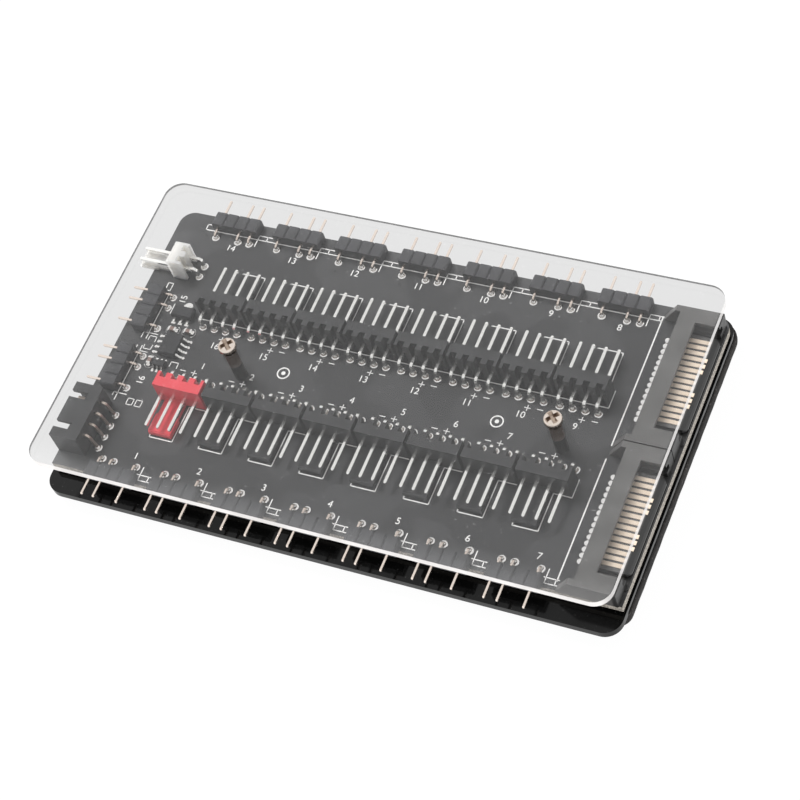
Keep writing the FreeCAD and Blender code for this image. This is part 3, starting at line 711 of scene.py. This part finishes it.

# Glass-filled plastic: dark grey where the skin shows fibre, and black at the mouth,
# where a painted shade darkens it.
filled_plastic = moulded("glass_filled_plastic", "#504F4E", "#5D5C5B", 0.4, 1.2)
plug_shade = filled_plastic.node_tree.nodes["Principled BSDF"].inputs["Base Color"]
plug_across = add_node(filled_plastic, "ShaderNodeSeparateXYZ", {
    "Vector": add_node(filled_plastic, "ShaderNodeTexCoord").outputs["Object"],
}).outputs["X"]
painted_mouth_shade = add_node(filled_plastic, "ShaderNodeMapRange", {
    "Value": plug_across, "From Min": plug_1_hi.x - 1.6 * MM, "From Max": plug_1_hi.x - 1.2 * MM,
})
plug_colour = add_node(filled_plastic, "ShaderNodeMix", {
    SHARE: painted_mouth_shade, FIRST: plug_shade.links[0].from_socket, SECOND: "#1C1C1C",
}, data_type="RGBA").outputs[MIXED]
filled_plastic.node_tree.links.new(plug_colour, plug_shade)
dress(filled_plastic, "power_plug_1", "power_plug_2")
soften(0.15, "power_plug_1", "power_plug_2")

# Gold-flashed bronze blades: pale and warm, with a satin sheen from the stamping.
gold_blade = metal_skin("gold_flashed_blade", "#EBD6BF", "#F4E5D4", 1.8, 1.2, 0.36, 0.46, metallic=0.6)
dress(gold_blade, "power_contacts_1", "power_contacts_2")
soften(0.06, "power_contacts_1", "power_contacts_2")


def bead_profile(radius, height):
    """Radius and height in mm of a low bead of solder with a nearly flat top."""
    shares = ((1.0, 0.0), (0.97, 0.4), (0.84, 0.8), (0.66, 0.96), (0.3, 1.0))
    return [(radius * across, height * up) for across, up in shares]


bead_x = plug_1_lo.x + 2.3 * MM
beads = bmesh.new()
for node in ("power_contacts_1", "power_contacts_2"):
    first_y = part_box(node)[0].y + CONTACT_HALF
    for k in range(CONTACTS_EACH):
        turn_profile(beads, (bead_x, first_y + k * CONTACT_PITCH, board_top),
                     bead_profile(BEAD_RADIUS, BEAD_HEIGHT), 16)
finish_piece("plug_solder", beads, tin, smooth=True)


# Chips: a die in black epoxy resin, with stamped and formed leads of tin-plated copper.
# Their feet are soldered to the board: the driver's under beads, the others' on flat pads.
def block(mesh, middle, turn, size, low, high):
    """A block over the board, turned about its middle. Low and high are in mm above the board."""
    x, y = size[0] / 2, size[1] / 2
    c, s = math.cos(turn), math.sin(turn)
    corners = [(-x, -y), (x, -y), (x, y), (-x, y)]
    slab(mesh, [(middle[0] + a * c - b * s, middle[1] + a * s + b * c) for a, b in corners],
         board_top + low * MM, board_top + high * MM)


# Epoxy resin: nearly black and matt from the mould, with hardly any gloss.
resin = moulded("black_epoxy_resin", "#1F1F20", "#28282A", 0.6, 0.08)
dress(resin, "driver_chip", "switch_chip", "regulator")
dress(tin_plate, "chip_leads")
soften(0.05, "driver_chip", "switch_chip", "regulator")

# The feet, in mm from the first fan pin behind. The driver has four at each side, under round beads.
# The regulator and the switch have three in a row, on flat pads, given by the middle one.
DRIVER_Y, DRIVER_SIDES, DRIVER_PITCH = -5.9, (-0.85, -7.6), 1.27 * MM
FLAT_FEET = (
    # place, pitch, pad, height of the solder in mm
    ((-5.1, -0.5), 1.5 * MM, (0.9 * MM, 0.44 * MM), 0.14),
    ((-4.95, -12.0), 0.95 * MM, (0.52 * MM, 0.4 * MM), 0.12),
)
feet = bmesh.new()
for row in (-1.5, -0.5, 0.5, 1.5):
    for side in DRIVER_SIDES:
        foot = (fan_first_x + side * MM, rear_fan_y + DRIVER_Y * MM + row * DRIVER_PITCH, board_top)
        turn_profile(feet, foot, bead_profile(0.36, 0.2), 14)
for column in (-1, 0, 1):
    for (x, y), pitch, pad, height in FLAT_FEET:
        foot = (fan_first_x + x * MM + column * pitch, rear_fan_y + y * MM)
        block(feet, foot, 0.0, pad, 0.0, height)
# Behind the regulator its tab lies in a half-round pool of solder: (radius, low, high) in mm.
TAB_X, TAB_Y = -5.1, 3.75
for radius, low, high in ((0.92, 0.0, 0.14), (0.78, 0.14, 0.24)):
    pool = [(fan_first_x + (TAB_X + radius * math.cos(math.pi * i / 16)) * MM,
             rear_fan_y + (TAB_Y + radius * math.sin(math.pi * i / 16)) * MM) for i in range(17)]
    slab(feet, pool, board_top + low * MM, board_top + high * MM)
lead_piece = finish_piece("lead_solder", feet, tin, smooth=True)
lead_piece.data.set_sharp_from_angle(angle=math.radians(60))


# Capacitors: brown fired ceramic with a tin-plated cap at each end, soldered to two pads.
# Each is about 1.6 mm long. Its body stands a little off the board, on its caps.
CAP_BODY, CAP_END, CAP_FOOT = (0.94 * MM, 0.78 * MM), (0.35 * MM, 0.85 * MM), (0.4 * MM, 0.8 * MM)
END_SHIFT, FOOT_SHIFT = 0.625 * MM, 0.98 * MM

# Fired ceramic: brown with a fine grain of darker crystals and a satin face.
ceramic = new_material("fired_brown_ceramic")
ceramic_skin = add_node(ceramic, "ShaderNodeBsdfPrincipled", {
    "Base Color": mottle(ceramic, 0.4, "#6C5850", "#84706A", detail=3.0),
    "Roughness": 0.38,
})
add_node(ceramic, "ShaderNodeOutputMaterial", {"Surface": ceramic_skin})

bodies, ends = bmesh.new(), bmesh.new()
for x, y, turn in CAPACITORS:
    middle = (fan_first_x + x * MM, rear_fan_y + y * MM)
    block(bodies, middle, turn, CAP_BODY, 0.04, 0.76)
    for side in (-1, 1):
        for shift, size, height in ((END_SHIFT, CAP_END, 0.8), (FOOT_SHIFT, CAP_FOOT, 0.25)):
            spot = (middle[0] + side * shift * math.cos(turn), middle[1] + side * shift * math.sin(turn))
            block(ends, spot, turn, size, 0.0, height)
cap_bodies = finish_piece("capacitor_bodies", bodies, ceramic)
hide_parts("capacitors")
finish_piece("capacitor_ends", ends, tin)


# Support posts: turned brass, its upper half left a dull brown bronze and its lower half black.
# They stand between the board and the cover, and the long screws run through them.
bronze = new_material("bronzed_brass_post")
post_height = add_node(bronze, "ShaderNodeSeparateXYZ", {
    "Vector": add_node(bronze, "ShaderNodeTexCoord").outputs["Object"],
}).outputs["Z"]
upper_half = add_node(bronze, "ShaderNodeMapRange", {
    "Value": post_height, "From Min": board_top + 4.25 * MM, "From Max": board_top + 4.35 * MM,
})
# Bronzed brass: the bath left it brown and satin, with only a little of the metal's gloss.
post_skin = add_node(bronze, "ShaderNodeBsdfPrincipled", {
    "Base Color": add_node(bronze, "ShaderNodeMix", {
        SHARE: upper_half, FIRST: "#232221", SECOND: mottle(bronze, 1.5, "#574B44", "#685B53", detail=3.0),
    }, data_type="RGBA").outputs[MIXED],
    "Metallic": 0.5,
    "Roughness": patches(bronze, 0.8, 0.3, 0.7, 0.36, 0.48),
})
add_node(bronze, "ShaderNodeOutputMaterial", {"Surface": post_skin})
dress(bronze, "support_posts")


# Long screws: nickel-plated steel with a low pan head and a pressed cross recess.
# They run through the cover, the posts and the board, and end in the spacer nuts.
screw_lo, screw_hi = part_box("cover_screws")
cover_lo, cover_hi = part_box("clear_cover")
# In mm, and the turn of the recess in degrees.
HEAD_RADIUS, HEAD_HEIGHT, SHANK_RADIUS = 1.8, 1.05, 0.85
BLADE_LENGTH, BLADE_WIDTH, BLADE_TURN = 2.8, 1.0, 46
RECESS_FLOOR, RECESS_RIM = 0.35, 0.98
screw_y = (screw_lo.y + screw_hi.y) / 2
screw_xs = (screw_lo.x + HEAD_RADIUS * MM, screw_hi.x - HEAD_RADIUS * MM)

# Nickel plate: bright and warm, with slightly blurred reflections.
nickel = metal_skin("nickel_plated_steel", "#B2A89F", "#C6BCB3", 1.5, 0.9, 0.18, 0.3)
# In the recess the plating gets a painted shade: darker, browner and duller than on the head.
recess_shade = new_material("nickel_with_painted_recess_shade")
recess_skin = add_node(recess_shade, "ShaderNodeBsdfPrincipled", {
    "Base Color": mottle(recess_shade, 0.4, "#84756A", "#A69789"),
    "Metallic": 1.0,
    "Roughness": 0.34,
})
add_node(recess_shade, "ShaderNodeOutputMaterial", {"Surface": recess_skin})

# The screw's side, up from the shank's end and over the head: (radius, height over the cover).
shank_end = (screw_lo.z - cover_hi.z) / MM
SCREW_SIDE = (
    (SHANK_RADIUS, shank_end), (SHANK_RADIUS, 0.0), (HEAD_RADIUS, 0.0), (HEAD_RADIUS, 0.45),
    (HEAD_RADIUS * 0.94, 0.75), (HEAD_RADIUS * 0.8, 0.94), (HEAD_RADIUS * 0.55, HEAD_HEIGHT),
    (HEAD_RADIUS * 0.2, HEAD_HEIGHT),
)
screws, recess = bmesh.new(), bmesh.new()
for x in screw_xs:
    turn_profile(screws, (x, screw_y, cover_hi.z), SCREW_SIDE, 40)
    # The recess is cut by two crossed blades that taper to half their size at its floor.
    for turn in (math.radians(BLADE_TURN), math.radians(BLADE_TURN + 90)):
        c, s = math.cos(turn), math.sin(turn)
        loops = []
        for half, height in ((0.25, RECESS_FLOOR), (0.5, HEAD_HEIGHT + 0.2)):
            loop = []
            for along, across in ((-1, -1), (1, -1), (1, 1), (-1, 1)):
                a, b = along * half * BLADE_LENGTH * MM, across * half * BLADE_WIDTH * MM
                loop.append(recess.verts.new((
                    x + a * c - b * s, screw_y + a * s + b * c, cover_hi.z + height * MM,
                )))
            loops.append(loop)
        bridge(recess, loops)
screw_piece = finish_piece("cover_screws_turned", screws, nickel, smooth=True)
bmesh.ops.recalc_face_normals(recess, faces=recess.faces)
recess_data = bpy.data.meshes.new("recess_cutter")
recess.to_mesh(recess_data)
recess.free()
cutter = bpy.data.objects.new("recess_cutter", recess_data)
bpy.context.scene.collection.objects.link(cutter)
cut = screw_piece.modifiers.new("cross_recess", "BOOLEAN")
cut.object = cutter
cut.solver = "EXACT"
cut.use_self = True
bpy.context.view_layer.update()
screw_data = bpy.data.meshes.new_from_object(screw_piece.evaluated_get(bpy.context.evaluated_depsgraph_get()))
screw_piece.modifiers.clear()
screw_piece.data = screw_data
bpy.data.objects.remove(cutter)
for face in screw_data.polygons:
    face.use_smooth = True
    off_axis = min(math.hypot(face.center.x - x, face.center.y - screw_y) for x in screw_xs)
    height = (face.center.z - cover_hi.z) / MM
    in_recess = off_axis < (BLADE_LENGTH / 2 + 0.02) * MM and RECESS_FLOOR - 0.05 < height < RECESS_RIM
    face.material_index = 1 if in_recess and face.normal.z > -0.1 else 0
screw_data.set_sharp_from_angle(angle=math.radians(35))
screw_data.materials.append(recess_shade)
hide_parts("cover_screws")


# Clear cover: cast acrylic, cut by laser, 1.5 mm thick, held down on the posts by the two screws.
# Its faces mirror a little of the room, and its cut edges gather light, which is painted on them as a
# near-opaque white.
# Acrylic has an IOR of 1.49. The faces get less, because the photograph shows weaker reflections.
FACE_IOR, EDGE_IOR = 1.34, 1.49
EDGE_OPAQUE, RIGHT_EDGE_OPAQUE = 0.85, 0.55
cover = new_material("clear_cast_acrylic")
geometry = add_node(cover, "ShaderNodeNewGeometry").outputs
facing = add_node(cover, "ShaderNodeSeparateXYZ", {"Vector": geometry["Normal"]}).outputs
cover_at = add_node(cover, "ShaderNodeSeparateXYZ", {
    "Vector": add_node(cover, "ShaderNodeTexCoord").outputs["Object"],
}).outputs

# The faces: clear, with a mirror layer whose share Fresnel gives, from outside and from inside.
# A side that is seen from inside shows the table, so it has no mirror layer.
side_face = add_node(cover, "ShaderNodeMapRange", {
    "Value": add_node(cover, "ShaderNodeMath", {0: facing["Z"]}, operation="ABSOLUTE"),
    "From Min": 0.3, "From Max": 0.7, "To Min": 1.0, "To Max": 0.0,
})
side_inside = add_node(cover, "ShaderNodeMath", {
    0: side_face, 1: geometry["Backfacing"],
}, operation="MULTIPLY")
not_side_inside = add_node(cover, "ShaderNodeMath", {0: 1.0, 1: side_inside}, operation="SUBTRACT")
ior_ahead = add_node(cover, "ShaderNodeMapRange", {
    "Value": geometry["Backfacing"], "To Min": FACE_IOR, "To Max": 1 / FACE_IOR,
})
mirror_share = add_node(cover, "ShaderNodeFresnel", {"IOR": ior_ahead})
faces = add_node(cover, "ShaderNodeMixShader", {
    0: add_node(cover, "ShaderNodeMath", {0: mirror_share, 1: not_side_inside}, operation="MULTIPLY"),
    1: add_node(cover, "ShaderNodeBsdfTransparent", {"Color": "#EEEEEE"}),
    2: add_node(cover, "ShaderNodeBsdfGlossy", {"Color": "#FFFFFF", "Roughness": 0.04}),
})

# Along the front the cut edge sends light back into the sheet, which looks hazy there.
# Grains of dust lie on it. They are drawn at 0.4 mm, coarser than they are, so that they show at all.
haze_share = add_node(cover, "ShaderNodeMapRange", {
    "Value": cover_at["Y"], "From Min": cover_lo.y + 4.5 * MM, "From Max": cover_lo.y + 0.5 * MM,
    "To Max": 0.03,
})
dust_share = patches(cover, 0.4, 0.79, 0.82, 0.0, 0.12, detail=0.0)
hazy = add_node(cover, "ShaderNodeMixShader", {
    0: add_node(cover, "ShaderNodeMath", {0: haze_share, 1: dust_share}, operation="MAXIMUM"),
    1: faces,
    2: add_node(cover, "ShaderNodeBsdfDiffuse", {"Color": "#D8D8D8"}),
})

# The cut edges: a painted glow of gathered light makes them whitish and nearly opaque from outside. From
# inside they are clear up to a painted shade, a grey line along their upper edge. The right one gets less of
# the painted glow, so more of what lies behind it shows.
upper_line = add_node(cover, "ShaderNodeMapRange", {
    "Value": cover_at["Z"], "From Min": cover_hi.z - 0.66 * MM, "From Max": cover_hi.z - 0.5 * MM,
})
outer_opaque = add_node(cover, "ShaderNodeMapRange", {
    "Value": facing["X"], "From Min": 0.6, "From Max": 0.9,
    "To Min": EDGE_OPAQUE, "To Max": RIGHT_EDGE_OPAQUE,
})
inner_opaque = add_node(cover, "ShaderNodeMapRange", {"Value": upper_line, "To Max": EDGE_OPAQUE})
opaque = add_node(cover, "ShaderNodeMapRange", {
    "Value": geometry["Backfacing"], "To Min": outer_opaque, "To Max": inner_opaque,
})
painted_line_shade_share = add_node(cover, "ShaderNodeMath", {
    0: geometry["Backfacing"], 1: upper_line,
}, operation="MULTIPLY")
edge_colour = add_node(cover, "ShaderNodeMix", {
    SHARE: painted_line_shade_share,
    FIRST: mottle(cover, 6.0, "#E3DFDD", "#F3F0EE", 0.4, 0.6, detail=3.0),
    SECOND: "#7E7E7F",
}, data_type="RGBA").outputs[MIXED]
cover_skin = add_node(cover, "ShaderNodeMixShader", {
    0: add_node(cover, "ShaderNodeMath", {0: side_face, 1: opaque}, operation="MULTIPLY"),
    1: hazy,
    2: add_node(cover, "ShaderNodeBsdfPrincipled", {
        "Base Color": edge_colour, "Roughness": 0.25, "IOR": EDGE_IOR,
    }),
})
add_node(cover, "ShaderNodeOutputMaterial", {"Surface": cover_skin})
dress(cover, "clear_cover")
soften(0.1, "clear_cover")


# The table that it lies on, which is no part of it: a smooth sheet of white paper.
# It glows, so that it looks as white as the photograph's cut-out ground and shows hardly a shadow.
TABLE_HALF, TABLE_THICKNESS = 3.0, 0.01
table = bmesh.new()
slab(table, [(-TABLE_HALF, -TABLE_HALF), (TABLE_HALF, -TABLE_HALF), (TABLE_HALF, TABLE_HALF),
             (-TABLE_HALF, TABLE_HALF)], -TABLE_THICKNESS, 0.0)
bmesh.ops.recalc_face_normals(table, faces=table.faces)
table_data = bpy.data.meshes.new("white_table")
table.to_mesh(table_data)
table.free()
white_sheet = new_material("white_paper_sheet")
sheet_skin = add_node(white_sheet, "ShaderNodeBsdfPrincipled", {
    "Base Color": "#303030",
    "Roughness": 0.9,
    "Specular IOR Level": 0.1,
    "Emission Color": "#FFFFFF",
    "Emission Strength": 0.965,
})
add_node(white_sheet, "ShaderNodeOutputMaterial", {"Surface": sheet_skin})
# The sheet is so wide that rays find it by themselves, with less noise than if it were sampled as a lamp.
white_sheet.cycles.emission_sampling = "NONE"
table_data.materials.append(white_sheet)
table_piece = bpy.data.objects.new("white_table", table_data)
bpy.context.scene.collection.objects.link(table_piece)


# Light: an even white studio, and a soft square lamp above the object, from its left and a little behind.
# The lamp is hidden from glossy rays, so the screws, pins and cover mirror only the even room.
ROOM_STRENGTH = 1.48
LAMP_DIRECTION, LAMP_DISTANCE, LAMP_SIZE, LAMP_WATTS = (-0.49, 0.2, 0.85), 0.9, 0.2, 11.0
world = bpy.data.worlds.new("white_studio")
bpy.context.scene.world = world
world.use_nodes = True
world.node_tree.nodes["Background"].inputs["Color"].default_value = linear("#FFFFFF")
world.node_tree.nodes["Background"].inputs["Strength"].default_value = ROOM_STRENGTH
lamp_data = bpy.data.lights.new("overhead_softbox", "AREA")
lamp_data.shape = "SQUARE"
lamp_data.size = LAMP_SIZE
lamp_data.energy = LAMP_WATTS
lamp = bpy.data.objects.new("overhead_softbox", lamp_data)
towards = Vector(LAMP_DIRECTION).normalized()
lamp.location = towards * LAMP_DISTANCE
lamp.rotation_mode = "QUATERNION"
lamp.rotation_quaternion = (-towards).to_track_quat("-Z", "Y")
lamp.visible_glossy = False
bpy.context.scene.collection.objects.link(lamp)


# Camera: where the photograph was taken from, a long lens with a slight roll.
# Its place and its three directions come from the fit to the rows of pins and the cover's outline.
camera_data = bpy.data.cameras.new("camera")
camera_data.sensor_width, camera_data.lens = 36.0, 103.92
camera_data.clip_start, camera_data.clip_end = 0.01, 20.0
camera = bpy.data.objects.new("camera", camera_data)
right = Vector((0.90044874, 0.37278646, -0.22410338))
down = Vector((0.20343411, -0.8163435, -0.54055328))
ahead = Vector((-0.38445629, 0.44115025, -0.81091296))
stand = Vector((170.58, -191.01, 359.42)) * MM
camera.matrix_world = Matrix((
    (right.x, -down.x, -ahead.x, stand.x),
    (right.y, -down.y, -ahead.y, stand.y),
    (right.z, -down.z, -ahead.z, stand.z),
    (0, 0, 0, 1),
))
bpy.context.scene.collection.objects.link(camera)
bpy.context.scene.camera = camera
bpy.context.scene.view_settings.view_transform = "Standard"
